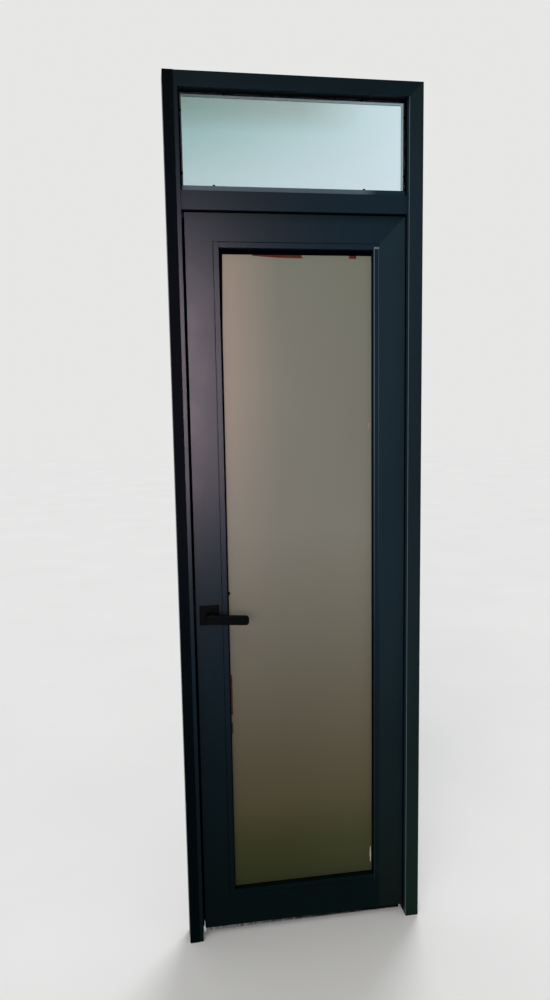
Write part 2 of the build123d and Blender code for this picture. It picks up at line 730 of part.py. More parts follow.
def make_leaf_seals():
    """Overlap seal in the flange and brush along the bottom."""
    centre = flange_reach / 2 + overlap_seal_offset
    half, root_half = overlap_seal_width / 2, seal_groove_width / 2 - fit
    flange_front = leaf_rear - flange_thickness
    bulb = arch(leaf_left - centre - half, leaf_right + centre + half, leaf_bottom, leaf_top + centre + half,
                overlap_seal_width, frame_rear + seal_clearance, flange_front)
    root = arch(leaf_left - centre - root_half, leaf_right + centre + root_half, leaf_bottom,
                leaf_top + centre + root_half, 2 * root_half,
                flange_front, flange_front + groove_depth - fit)
    parts["overlap_seal"] = bulb + root
    x0, x1 = leaf_left + brush_end_gap, leaf_right - brush_end_gap
    half = brush_groove_width / 2 - fit
    top, foot = leaf_bottom + brush_groove_depth - fit, leaf_bottom - brush_holder_drop
    holder = block(x0, x1, -half, half, foot, top)
    inside = half - brush_holder_wall
    holder -= block(x0 - 1, x1 + 1, -inside, inside, foot - 1, top - brush_holder_wall)
    parts["brush_holder"] = holder
    brush = inside - fit
    tuft = brush_tip_share * brush
    points = [(-brush, top - brush_holder_wall), (brush, top - brush_holder_wall),
              (brush, foot), (tuft, brush_floor_gap), (-tuft, brush_floor_gap), (-brush, foot)]
    parts["brush_strip"] = extrude(Plane.YZ.offset(x0) * outline(points), x1 - x0)


def make_lock():
    """Lock case, faceplate, latch and follower."""
    z, half = spindle_height, case_thickness / 2
    x0, x1 = leaf_left + wall, leaf_left + wall + case_reach
    case = block(x0, x1, -half, half, z - case_below, z + case_above)
    case -= block(x0 + case_wall, x1 - case_wall, -half + case_wall, half - case_wall,
                  z - case_below + case_wall, z + case_above - case_wall)
    mouth_half = latch_thickness / 2 + fit
    mouth = block(leaf_left - faceplate_thickness - 1, x0 + case_wall + 1, -mouth_half, mouth_half,
                  z + latch_low - latch_mouth_gap, z + latch_high + latch_mouth_gap)
    case -= mouth
    case -= rod(follower_hub_radius + turning_clearance, (spindle_x, -half - 1, z),
                (0, 1, 0), case_thickness + 2)
    for dz in (-rose_bolt_offset, rose_bolt_offset):
        case -= rod(rose_bolt_radius + turning_clearance, (spindle_x, -half - 1, z + dz),
                    (0, 1, 0), case_thickness + 2)
    parts["lock_case"] = case
    plate_half = faceplate_width / 2
    plate = block(leaf_left - faceplate_thickness, leaf_left, -plate_half, plate_half,
                  z - faceplate_below, z + faceplate_above)
    plate = fillet(plate.edges().filter_by(Axis.X), plate_corner)
    plate -= mouth
    for point in faceplate_screw_points():
        plate -= screw_hole(point, (1, 0, 0))
    parts["faceplate"] = plate
    parts["latch_bolt"] = make_latch()
    inner_half = half - case_wall - turning_clearance
    hub_half = half + follower_hub_stand
    follower = rod(follower_radius, (spindle_x, -inner_half, z), (0, 1, 0), 2 * inner_half)
    follower += rod(follower_hub_radius, (spindle_x, -hub_half, z), (0, 1, 0), 2 * hub_half)
    finger = tail_thickness / 2 + finger_margin
    follower += block(spindle_x - finger_width / 2, spindle_x + finger_width / 2, -finger, finger,
                      z, z + finger_reach)
    hole = spindle_side / 2 + socket_gap
    follower -= block(spindle_x - hole, spindle_x + hole, -hub_half - 1, hub_half + 1, z - hole, z + hole)
    parts["lock_follower"] = follower


def make_latch():
    """Bevelled latch head with a tail that hooks behind the follower's finger."""
    z, half = spindle_height, latch_thickness / 2
    tip = leaf_left - faceplate_thickness - latch_throw
    end = leaf_left + latch_inside
    shoulder = leaf_left - faceplate_thickness - latch_shoulder
    shape = [(tip, half), (end, half), (end, -half), (shoulder, -half), (tip, half - latch_nose)]
    head = extrude(Plane.XY.offset(z + latch_low) * outline(shape), latch_high - latch_low)
    tail = tail_thickness / 2
    hook_x = spindle_x + finger_width / 2 + hook_gap
    strap = block(end - 1, hook_x + hook_length, -tail, tail, z + tail_low, z + tail_high)
    hook = block(hook_x, hook_x + hook_length, -tail, tail, z + hook_low, z + tail_high)
    return head + strap + hook


def make_handle():
    """Levers, roses, spindle and the bolts between the roses."""
    z, x = spindle_height, spindle_x
    half = rose_size / 2
    rose_front = leaf_front - rose_thickness
    rose = block(x - half, x + half, rose_front, leaf_front, z - half, z + half)
    rose = fillet(rose.edges().filter_by(Axis.Y), rose_corner)
    rose = fillet(rose.faces().sort_by(Axis.Y)[0].edges(), rose_edge)
    inner = half - rose_wall
    rose -= block(x - inner, x + inner, rose_front + rose_wall, leaf_front + 1, z - inner, z + inner)
    rose -= rod(neck_radius + turning_clearance, (x, rose_front - 1, z), (0, 1, 0), rose_thickness + 2)
    lever_front = leaf_front - lever_projection
    lever_back = lever_front + lever_thickness
    neck_end = leaf_front - neck_end_gap
    body = block(x - lever_tail, x - lever_tail + lever_length, lever_front, lever_back,
                 z - lever_height / 2, z + lever_height / 2)
    corners = body.edges().filter_by(Axis.Y).group_by(Axis.X)
    body = fillet(corners[-1], lever_tip_radius)
    body = fillet(body.edges().filter_by(Axis.Y).group_by(Axis.X)[0], lever_tail_radius)
    body = fillet(body.faces().sort_by(Axis.Y)[0].edges(), lever_front_edge)
    body = fillet(body.faces().sort_by(Axis.Y)[-1].edges(), lever_back_edge)
    neck_start = lever_back - lever_back_edge
    flare = Plane(origin=(x, neck_start, z), z_dir=(0, 1, 0)) * Cone(
        neck_flare_radius, neck_radius, neck_flare_length, align=on_base)
    lever = body + flare + rod(neck_radius, (x, neck_start, z), (0, 1, 0), neck_end - neck_start)
    socket = spindle_side / 2 + socket_gap
    spindle_end = lever_back + spindle_bite
    lever -= block(x - socket, x + socket, spindle_end - socket_end_gap, neck_end + 1,
                   z - socket, z + socket)
    parts["front_lever"] = lever
    parts["rear_lever"] = mirror(lever, about=Plane.XZ)
    parts["front_rose"] = rose
    parts["rear_rose"] = mirror(rose, about=Plane.XZ)
    side = spindle_side / 2
    parts["spindle"] = block(x - side, x + side, spindle_end, -spindle_end, z - side, z + side)
    bolts = []
    for dz in (-rose_bolt_offset, rose_bolt_offset):
        bolt = rod(rose_bolt_radius, (x, leaf_front, z + dz), (0, 1, 0), leaf_depth)
        for start, way in ((leaf_front, -1), (leaf_rear, 1)):
            bolt += rod(rose_bolt_head_radius, (x, start, z + dz), (0, way, 0), rose_bolt_head_height)
        bolts.append(bolt)
    parts["rose_bolts"] = Compound(children=bolts)


def knuckle(z0, z1):
    """Barrel piece of a hinge with its bore."""
    barrel = rod(knuckle_radius, (hinge_x, hinge_y, z0), (0, 0, 1), z1 - z0)
    return barrel, rod(pin_radius + pin_clearance, (hinge_x, hinge_y, z0 - 1), (0, 0, 1), z1 - z0 + 2)


def make_hinge(name, z):
    """One surface hinge: frame wing with two knuckles, leaf wing with one."""
    reach = 1.5 * knuckle_length + knuckle_gap
    low, high = z - reach, z + reach
    inner = knuckle_length / 2
    frame_y = frame_rear + frame_wing_thickness
    frame_wing = block(hinge_x - arm_offset, right_outer - wing_margin, frame_rear, frame_y, low, high)
    bores = []
    for z0, z1 in ((low, z - inner - knuckle_gap), (z + inner + knuckle_gap, high)):
        barrel, bore = knuckle(z0, z1)
        arm = block(hinge_x + arm_offset, hinge_x + arm_offset + knuckle_radius, frame_y - 1,
                    hinge_y + arm_embed, z0, z1)
        frame_wing = frame_wing + arm + barrel
        bores.append(bore)
    barrel, bore = knuckle(z - inner, z + inner)
    bores.append(bore)
    wing_left = hinge_x - leaf_wing_length
    leaf_y = leaf_rear + wing_thickness
    wing_right = hinge_x - knuckle_radius - knuckle_relief
    leaf_wing = block(wing_left, wing_right, leaf_rear, leaf_y, low, high)
    leaf_wing = fillet(leaf_wing.edges().filter_by(Axis.Y).group_by(Axis.X)[0], wing_corner)
    leaf_wing += block(wing_right - 1, hinge_x, leaf_rear, leaf_y + web_step, z - inner, z + inner)
    leaf_wing += barrel
    for bore in bores:
        frame_wing -= bore
        leaf_wing -= bore
    frame_points, leaf_points = hinge_screw_points()
    for point in frame_points:
        if abs(point[2] - z) < reach:
            frame_wing -= screw_hole(point, (0, -1, 0))
    for point in leaf_points:
        if abs(point[2] - z) < reach:
            leaf_wing -= screw_hole(point, (0, -1, 0))
    parts["hinge_frame_wing_" + name] = frame_wing
    parts["hinge_leaf_wing_" + name] = leaf_wing
    pin = rod(pin_radius, (hinge_x, hinge_y, low), (0, 0, 1), high - low)
    return pin + rod(pin_head_radius, (hinge_x, hinge_y, high), (0, 0, 1), pin_head_height)


def make_hinges():
    names = ("bottom", "middle", "top")
    pins = [make_hinge(name, z) for name, z in zip(names, hinge_heights)]
    parts["hinge_pins"] = Compound(children=pins)
    frame_points, leaf_points = hinge_screw_points()
    frame_screws = [screw(point, (0, -1, 0)) for point in frame_points]
    frame_screws += [screw(point, (-1, 0, 0)) for point in strike_screw_points()]
    parts["frame_screws"] = Compound(children=frame_screws)
    leaf_screws = [screw(point, (0, -1, 0)) for point in leaf_points]
    leaf_screws += [screw(point, (1, 0, 0)) for point in faceplate_screw_points()]
    parts["leaf_screws"] = Compound(children=leaf_screws)


make_frame()
make_connectors()
make_fanlight()
make_frame_seal()
make_strike()
make_leaf()
make_leaf_glazing()
make_leaf_seals()
make_lock()
make_handle()
make_hinges()

for name, shape in parts.items():
    export_step(shape, f"parts/{name}.step")
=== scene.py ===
"""Looks of a glass entrance door: coated frame and leaf, frosted leaf glass, clear fanlight."""
import math
import random

import bpy
from mathutils import Euler, Matrix, Vector


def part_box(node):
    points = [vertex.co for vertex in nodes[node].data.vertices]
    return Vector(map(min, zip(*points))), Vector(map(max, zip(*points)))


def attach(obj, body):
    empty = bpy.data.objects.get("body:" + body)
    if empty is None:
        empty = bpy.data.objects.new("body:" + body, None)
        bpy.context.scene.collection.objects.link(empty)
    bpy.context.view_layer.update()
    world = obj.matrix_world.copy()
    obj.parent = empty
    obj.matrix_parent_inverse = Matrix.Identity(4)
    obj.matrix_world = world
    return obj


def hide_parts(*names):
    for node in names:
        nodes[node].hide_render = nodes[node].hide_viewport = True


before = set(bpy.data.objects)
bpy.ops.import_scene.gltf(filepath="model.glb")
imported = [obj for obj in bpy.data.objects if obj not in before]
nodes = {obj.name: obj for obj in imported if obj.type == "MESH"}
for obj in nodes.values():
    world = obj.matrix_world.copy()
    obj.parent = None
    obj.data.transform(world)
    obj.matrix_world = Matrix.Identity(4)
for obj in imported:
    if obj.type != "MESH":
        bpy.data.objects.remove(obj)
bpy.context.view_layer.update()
bpy.ops.object.select_all(action="DESELECT")

MM = 0.001
TOLERANCE = 0.1 * MM
IMAGE_HEIGHT_PX = 1000

# Camera, found from the edges of the frame, the leaf and the glass in the photograph
CAMERA_PLACE = (-0.4310, -2.2293, 1.6249)
CAMERA_YAW = math.radians(9.217)
CAMERA_PITCH = math.radians(7.434)
CAMERA_ROLL = math.radians(-0.965)
FOCAL_PX = 782.37
SENSOR_HEIGHT = 36.0

# Colours as they look, 0 to 255
# The coat's foot and top colours carry painted shade, darker towards the floor and at the head rail
COAT_FOOT = (4, 20, 22)
COAT_HEAD = (24, 43, 55)
COAT_TOP = (17, 33, 40)
# Painted highlight on hinge-side edges, and painted light on the rest of the hinge jamb's return
COAT_LIT = (100, 121, 134)
COAT_RETURN_PAINTED_LIGHT = (30, 46, 56)
COAT_DUST = (58, 60, 58)
STRIP_BLACK = (2, 13, 18)
LEVER_BLACK = (10, 14, 16)
RUBBER = (5, 6, 8)
# Painted sheen at the upper left of the frosted glass, and painted light at its lower right
GLASS_PAINTED_SHEEN = (171, 152, 139)
GLASS_PAINTED_LIGHT_LOWER_RIGHT = (150, 150, 122)
STOP_DARK = (22, 42, 50)
BACKGROUND = (231, 231, 230)
FLOOR = (240, 241, 240)

# Frosted glass from its foot, 0, to its top, 1: its own tint with painted light, darker and browner
# towards the foot
GLASS_TINT_AND_PAINTED_LIGHT = [
    (0.0, (57, 62, 39)), (0.07, (69, 71, 45)), (0.13, (87, 83, 62)), (0.2, (95, 90, 72)),
    (0.33, (110, 106, 93)), (0.58, (134, 133, 124)), (1.0, (127, 129, 118)),
]

# Heights and widths that the shades of the finishes run over, in metres
COAT_Z = (0.1, 2.48)
GLASS_Z = (0.15, 2.03)
FANLIGHT_X = (-0.3, 0.3)
HEAD_SHADE_DEPTH = 26 * MM

# Leaf: reach and thickness of its rear flange, and how far a bead sits in its groove
LEAF_FLANGE_REACH = 16 * MM
LEAF_FLANGE_THICKNESS = 7 * MM
BEAD_TONGUE = 3 * MM

# Screws of the hinges and plates
SCREW_RADIUS = 2.0 * MM
SCREW_HEAD_RADIUS = 3.5 * MM
SCREW_HEAD_HEIGHT = 1.8 * MM
SCREW_LENGTH = 9.0 * MM
SCREW_POINT_SHARE = 0.6
SCREW_SPREAD = 36.0 * MM
RECESS_SIZE = (3.6 * MM, 0.8 * MM, 2.4 * MM)
RECESS_FOOT_SHARE = 0.45
PLATE_SCREW_INSET = 12.0 * MM
FRAME_WING_SCREW_INSET = 5 * MM
LEAF_WING_SCREW_INSET = 15 * MM
FRAME_WING_THICKNESS = 5.0 * MM
LEAF_WING_THICKNESS = 4.5 * MM
SCREW_SEED = 7

# Brush under the leaf
TUFT_PITCH = 2.0 * MM
TUFT_ROWS = 4
TUFT_TIP_RADIUS = 0.35 * MM
TUFT_ROOT_RADIUS = 0.95 * MM
TUFT_LEAN = 0.6
TUFT_SCATTER = 0.7 * MM
TUFT_ROOTING = 1 * MM
TIP_ZONE = 1 * MM
BACKING_RISE = 2 * MM
BRUSH_SEED = 3

# Bits that the glazing has kept: dark colour, light colour, roughness
SCRAP_COLOURS = {
    "red_tape": ((78, 32, 29), (88, 42, 39), 0.6),
    "pale_sealant": ((150, 154, 148), (176, 178, 172), 0.6),
    "pink_sealant": ((146, 130, 122), (156, 140, 132), 0.6),
    "brown_tape": ((64, 34, 28), (74, 42, 34), 0.6),
    "olive_tape": ((46, 42, 28), (56, 50, 36), 0.6),
    "black_sealant": ((12, 12, 12), (22, 22, 22), 0.5),
    "raw_bead_end": ((84, 104, 108), (96, 116, 120), 0.6),
}
# Each bit: colour, left, right, foot and top in metres, thickness in mm, height share of left end
SCRAPS = {
    "red_tape_long": ("red_tape", -0.124, 0.017, 2.0118, 2.0200, 0.2, 0.3),
    "red_tape_short": ("red_tape", 0.1535, 0.1745, 2.0120, 2.0200, 0.2, 1.0),
    "sealant_nub": ("black_sealant", -0.2150, -0.2075, 1.0570, 1.0670, 1.5, 1.0),
    "brown_tape_upper": ("brown_tape", -0.2130, -0.2080, 0.6900, 0.8140, 0.3, 1.0),
    "brown_tape_lower": ("olive_tape", -0.2130, -0.2090, 0.6320, 0.6680, 0.3, 1.0),
    "pale_sealant_low": ("pale_sealant", 0.2120, 0.2160, 0.1720, 0.2240, 0.6, 1.0),
    "pale_sealant_middle": ("pink_sealant", 0.2090, 0.2125, 1.5290, 1.5500, 0.6, 1.0),
    "bead_raw_end": ("raw_bead_end", 0.2220, 0.2370, 2.0370, 2.0420, 0.1, 1.0),
}
RAW_END_PROUD = 0.05 * MM
TAPE_SAG = 1.5 * MM
TAPE_POINT = 3 * MM
SAG_CUTS = 5
SEALANT_END_SHARE = 0.35

# Black, dull film on the leaf glass, painted shade under the top bead and beside the lock-side
# bead; at the lock side it narrows to the knee and again to the foot
BORDER_FILM = 0.1 * MM
BORDER_TOP_DEPTH = 15 * MM
BORDER_WIDE, BORDER_NARROW, BORDER_THIN = 11 * MM, 7 * MM, 4 * MM
BORDER_KNEE_Z = 1.82

# Flat seal in the gaps beside the leaf
GAP_SEAL_THICKNESS = 0.4 * MM
GAP_SEAL_FLOOR_GAP = 4 * MM
GAP_SEAL_HEAD_GAP = 20 * MM
GAP_SEAL_CLEARANCE = 0.5 * MM

# Nubs of the fanlight's front gasket
NUB_RADIUS = 4.5 * MM
NUB_HEIGHT = 2 * MM
NUB_FRONT_SHARE = 0.7
GASKET_WIDTH = 5.5 * MM
TOP_NUBS_X = (-0.1937, 0.1875)
FOOT_NUBS_X = (-0.2256, 0.1941)
LOCK_SIDE_NUBS_Z = (2.3887, 2.2283)
HINGE_SIDE_NUBS_Z = (2.3921, 2.2348)

LEVER_SAG = math.radians(4.2)
MERGE_DISTANCE = 0.001 * MM
FLOOR_SIZE = 40
SUN_SPREAD = math.radians(30)
SKY_STRENGTH = 0.45


def linear(colour):
    """Colour as it looks, 0 to 255, to the values that Blender's sockets take."""
    out = []
    for value in colour:
        share = value / 255
        out.append(share / 12.92 if share <= 0.04045 else ((share + 0.055) / 1.055) ** 2.4)
    return (*out, 1.0)


def grey(level):
    return (level, level, level)


def new_material(name):
    material = bpy.data.materials.new(name)
    material.use_nodes = True
    tree = material.node_tree
    shader = tree.nodes["Principled BSDF"]
    return material, tree, shader


def object_coordinates(tree, scale=(1, 1, 1)):
    """Object coordinates through a Mapping node."""
    coordinates = tree.nodes.new("ShaderNodeTexCoord")
    mapping = tree.nodes.new("ShaderNodeMapping")
    mapping.inputs["Scale"].default_value = scale
    tree.links.new(coordinates.outputs["Object"], mapping.inputs["Vector"])
    return mapping.outputs["Vector"]


def noise(tree, scale, detail=2.0, stretch=(1, 1, 1)):
    """Noise with about as many blotches in a metre as its scale says."""
    texture = tree.nodes.new("ShaderNodeTexNoise")
    texture.inputs["Scale"].default_value = scale
    texture.inputs["Detail"].default_value = detail
    tree.links.new(object_coordinates(tree, stretch), texture.inputs["Vector"])
    return texture.outputs["Fac"]


def ramp(tree, value, stops):
    """Colour ramp with stops of (place, colour)."""
    node = tree.nodes.new("ShaderNodeValToRGB")
    elements = node.color_ramp.elements
    while len(elements) < len(stops):
        elements.new(0.5)
    for element, (place, colour) in zip(elements, stops):
        element.position = place
        element.color = linear(colour)
    tree.links.new(value, node.inputs["Fac"])
    return node.outputs["Color"]


def span(tree, axis, low, high):
    """Value that goes from 0 to 1 along an axis of the object, between two places in metres."""
    split = tree.nodes.new("ShaderNodeSeparateXYZ")
    tree.links.new(object_coordinates(tree), split.inputs[0])
    reach = tree.nodes.new("ShaderNodeMapRange")
    reach.inputs["From Min"].default_value = low
    reach.inputs["From Max"].default_value = high
    tree.links.new(split.outputs[axis], reach.inputs["Value"])
    return reach.outputs["Result"]


def mixed(tree, factor, first, second, blend="MIX"):
    """Two colours mixed, each a socket or a colour, by a factor that is a socket or a number."""
    node = tree.nodes.new("ShaderNodeMix")
    node.data_type = "RGBA"
    node.blend_type = blend
    for socket, value in (("Factor_Float", factor), ("A_Color", first), ("B_Color", second)):
        target = next(s for s in node.inputs if s.identifier == socket)
        if isinstance(value, (int, float, tuple)):
            target.default_value = value
        else:
            tree.links.new(value, target)
    return next(s for s in node.outputs if s.identifier == "Result_Color")


def bump(tree, shader, height, strength, distance):
    node = tree.nodes.new("ShaderNodeBump")
    node.inputs["Strength"].default_value = strength
    node.inputs["Distance"].default_value = distance
    tree.links.new(height, node.inputs["Height"])
    tree.links.new(node.outputs["Normal"], shader.inputs["Normal"])


def varied_roughness(tree, shader, value, low, high):
    reach = tree.nodes.new("ShaderNodeMapRange")
    reach.inputs["To Min"].default_value = low
    reach.inputs["To Max"].default_value = high
    tree.links.new(value, reach.inputs["Value"])
    tree.links.new(reach.outputs["Result"], shader.inputs["Roughness"])


def product(tree, first, second):
    """Two values multiplied, each a socket or a number."""
    node = tree.nodes.new("ShaderNodeMath")
    node.operation = "MULTIPLY"
    for socket, value in zip(node.inputs, (first, second)):
        if isinstance(value, (int, float)):
            socket.default_value = value
        else:
            tree.links.new(value, socket)
    return node.outputs[0]


def powder_coat(name, foot=COAT_FOOT, head=COAT_HEAD, top=COAT_TOP,
                roughness=0.34, specular=0.035):
    """Fine-textured powder coat with painted shade, darker towards the foot and the top, and with
    clouds and dust.
    """
    material, tree, shader = new_material(name)
    height = span(tree, "Z", *COAT_Z)
    base = ramp(tree, height, [(0.0, foot), (0.48, head), (0.9, head), (1.0, top)])
    blotches = noise(tree, 3.5, 4.0, (1, 1, 0.35))
    cloud = ramp(tree, blotches, [(0.35, grey(112)), (0.7, grey(146))])
    base = mixed(tree, 0.8, base, cloud, "SOFT_LIGHT")
    specks = ramp(tree, noise(tree, 260.0, 3.0), [(0.66, grey(0)), (0.74, grey(255))])
    patches = ramp(tree, noise(tree, 5.0, 4.0), [(0.45, grey(0)), (0.7, grey(255))])
    dust = product(tree, product(tree, specks, patches), 0.35)
    near_floor = span(tree, "Z", 0.5, 0.0)
    floor_dust = product(tree, product(tree, noise(tree, 40.0, 5.0), near_floor), 0.03)
    colour = mixed(tree, dust, base, linear(COAT_DUST))
    colour = mixed(tree, floor_dust, colour, linear(COAT_DUST))
    tree.links.new(colour, shader.inputs["Base Color"])
    shader.inputs["Specular IOR Level"].default_value = specular
    varied_roughness(tree, shader, noise(tree, 12.0, 4.0), roughness - 0.04, roughness + 0.05)
    bump(tree, shader, noise(tree, 900.0, 2.0), 0.12, 0.0004)
    return material


def base_colour(material):
    """The tree, the shader and the socket that feeds the shader's colour."""
    tree = material.node_tree
    shader = tree.nodes["Principled BSDF"]
    return tree, shader, shader.inputs["Base Color"].links[0].from_socket


def lit_return_coat(name, face_x, front_y):
    """The hinge jamb's coat, lighter as painted light, with a painted highlight along the rounded
    front edge of its inner return.
    """
    material = powder_coat(name, (20, 40, 32), (31, 47, 56), (28, 43, 47))
    tree, shader, base = base_colour(material)
    near_face = span(tree, "X", face_x + 0.5 * MM, face_x + 0.2 * MM)
    near_front = span(tree, "Y", front_y + 5 * MM, front_y + 3 * MM)
    return_colour = mixed(tree, near_front, linear(COAT_RETURN_PAINTED_LIGHT), linear(COAT_LIT))
    colour = mixed(tree, near_face, base, return_colour)
    tree.links.new(colour, shader.inputs["Base Color"])
    return material


def edge_lit_bead_coat(name, left, right, front_y):
    """The coat of the hinge-side bead, with a painted highlight along both edges of its front."""
    material = powder_coat(name)
    tree, shader, base = base_colour(material)
    edges = ramp(tree, span(tree, "X", left, right), [
        (0.0, grey(200)), (0.1, grey(200)), (0.14, grey(0)), (0.84, grey(0)), (0.88, grey(170)),
    ])
    upwards = ramp(tree, span(tree, "Z", 0.9, 1.6), [(0.0, grey(90)), (1.0, grey(255))])
    near_front = span(tree, "Y", front_y + 3 * MM, front_y + 2 * MM)
    under_top_bead = span(tree, "Z", 2.0380, 2.0372)
    strength = product(tree, product(tree, upwards, near_front), under_top_bead)
    colour = mixed(tree, product(tree, edges, strength), base, linear(COAT_LIT))
    tree.links.new(colour, shader.inputs["Base Color"])
    return material


def shaded_head_coat(name, top):
    """The coat of the leaf's top rail, with painted shade just under the mid rail."""
    material = powder_coat(name)
    tree, shader, base = base_colour(material)
    shade = product(tree, span(tree, "Z", top - HEAD_SHADE_DEPTH, top), 0.85)
    colour = mixed(tree, shade, base, linear(COAT_FOOT))
    tree.links.new(colour, shader.inputs["Base Color"])
    return material


def mill_metal(name, dark, light, roughness=0.35):
    """Bare or plated metal with fine drawing lines."""
    material, tree, shader = new_material(name)
    colour = ramp(tree, noise(tree, 120.0, 4.0, (1, 1, 0.05)), [(0.3, dark), (0.7, light)])
    tree.links.new(colour, shader.inputs["Base Color"])
    shader.inputs["Metallic"].default_value = 1.0
    varied_roughness(tree, shader, noise(tree, 300.0, 3.0), roughness - 0.06, roughness + 0.08)
    bump(tree, shader, noise(tree, 1500.0, 2.0), 0.08, 0.0002)
    return material


def soft_rubber(name, dark, light, specular=0.005):
    """Black extruded rubber with a dull bloom."""
    material, tree, shader = new_material(name)
    colour = ramp(tree, noise(tree, 45.0, 5.0), [(0.4, dark), (0.75, light)])
    tree.links.new(colour, shader.inputs["Base Color"])
    shader.inputs["Roughness"].default_value = 0.62
    shader.inputs["Specular IOR Level"].default_value = specular
    bump(tree, shader, noise(tree, 700.0, 3.0), 0.2, 0.0004)
    return material


def frosted_glass():
    """Satin glass with painted light: browner and darker towards the foot, a warm painted sheen at
    the upper left and a little painted light at the lower right.
    """
    material, tree, shader = new_material("frosted_glass")
    column = ramp(tree, span(tree, "Z", *GLASS_Z), GLASS_TINT_AND_PAINTED_LIGHT)
    rise = span(tree, "Z", 0.6, 1.65)
    upper_left_painted_light = product(tree, span(tree, "X", -0.05, -0.24), product(tree, rise, rise))
    colour = mixed(tree, product(tree, upper_left_painted_light, 0.72), column, linear(GLASS_PAINTED_SHEEN))
    lower_right_painted_light = product(tree, span(tree, "X", -0.05, 0.22), span(tree, "Z", 1.3, 0.7))
    colour = mixed(tree, product(tree, lower_right_painted_light, 0.05), colour, linear(GLASS_PAINTED_LIGHT_LOWER_RIGHT))
    blotches = noise(tree, 2.2, 3.0, (1, 1, 0.5))
    cloud = ramp(tree, blotches, [(0.3, grey(120)), (0.7, grey(136))])
    colour = mixed(tree, 0.6, colour, cloud, "SOFT_LIGHT")
    tree.links.new(colour, shader.inputs["Base Color"])
    shader.inputs["IOR"].default_value = 1.5
    shader.inputs["Specular IOR Level"].default_value = 0.035
    varied_roughness(tree, shader, noise(tree, 400.0, 4.0), 0.4, 0.48)
    bump(tree, shader, noise(tree, 1800.0, 2.0), 0.1, 0.0002)
    return material


def clear_glass(name, left, right):
    """Clear float glass with a green-blue tint that goes from one colour at one side to another at
    the other.
    """
    material, tree, shader = new_material(name)
    colour = ramp(tree, span(tree, "X", *FANLIGHT_X), [(0.0, left), (1.0, right)])
    tree.links.new(colour, shader.inputs["Base Color"])
    shader.inputs["Transmission Weight"].default_value = 1.0
    shader.inputs["IOR"].default_value = 1.5
    varied_roughness(tree, shader, noise(tree, 6.0, 5.0), 0.0, 0.03)
    return material


def fanlight_glass():
    """Clear glass with painted light in its tint: paler to the foot and the hinge side, deep at the
    upper left.
    """
    material = clear_glass("fanlight_glass", (198, 221, 221), (237, 250, 254))
    tree, shader, colour = base_colour(material)
    across = span(tree, "X", *FANLIGHT_X)
    foot = ramp(tree, across, [(0.0, (221, 236, 238)), (1.0, (240, 250, 255))])
    colour = mixed(tree, span(tree, "Z", 2.38, 2.22), colour, foot)
    upper_left_painted_light = product(tree, span(tree, "Z", 2.34, 2.41), span(tree, "X", 0.2, 0.02))
    deeper_painted_shade = mixed(tree, 1.0, colour, (0.88, 0.85, 0.82, 1.0), "MULTIPLY")
    colour = mixed(tree, upper_left_painted_light, colour, deeper_painted_shade)
    tree.links.new(colour, shader.inputs["Base Color"])
    return material


def plastic(name, dark, light, roughness=0.5):
    material, tree, shader = new_material(name)
    colour = ramp(tree, noise(tree, 80.0, 3.0), [(0.35, dark), (0.7, light)])
    tree.links.new(colour, shader.inputs["Base Color"])
    shader.inputs["Roughness"].default_value = roughness
    shader.inputs["Specular IOR Level"].default_value = 0.02
    bump(tree, shader, noise(tree, 1200.0, 2.0), 0.15, 0.0003)
    return material


def grey_stop():
    """The fanlight's foot stop: a pale grey painted reflection along it, giving way to its dark
    coat near the hinge side.
    """
    pale = (92, 108, 118)
    material = powder_coat("grey_stop", (84, 98, 108), pale, pale, 0.4)
    tree, shader, base = base_colour(material)
    colour = mixed(tree, span(tree, "X", 0.19, 0.23), base, linear(STOP_DARK))
    tree.links.new(colour, shader.inputs["Base Color"])
    return material


mid_rail_low, mid_rail_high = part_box("mid_rail")
top_bead_low, top_bead_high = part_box("leaf_bead_top")

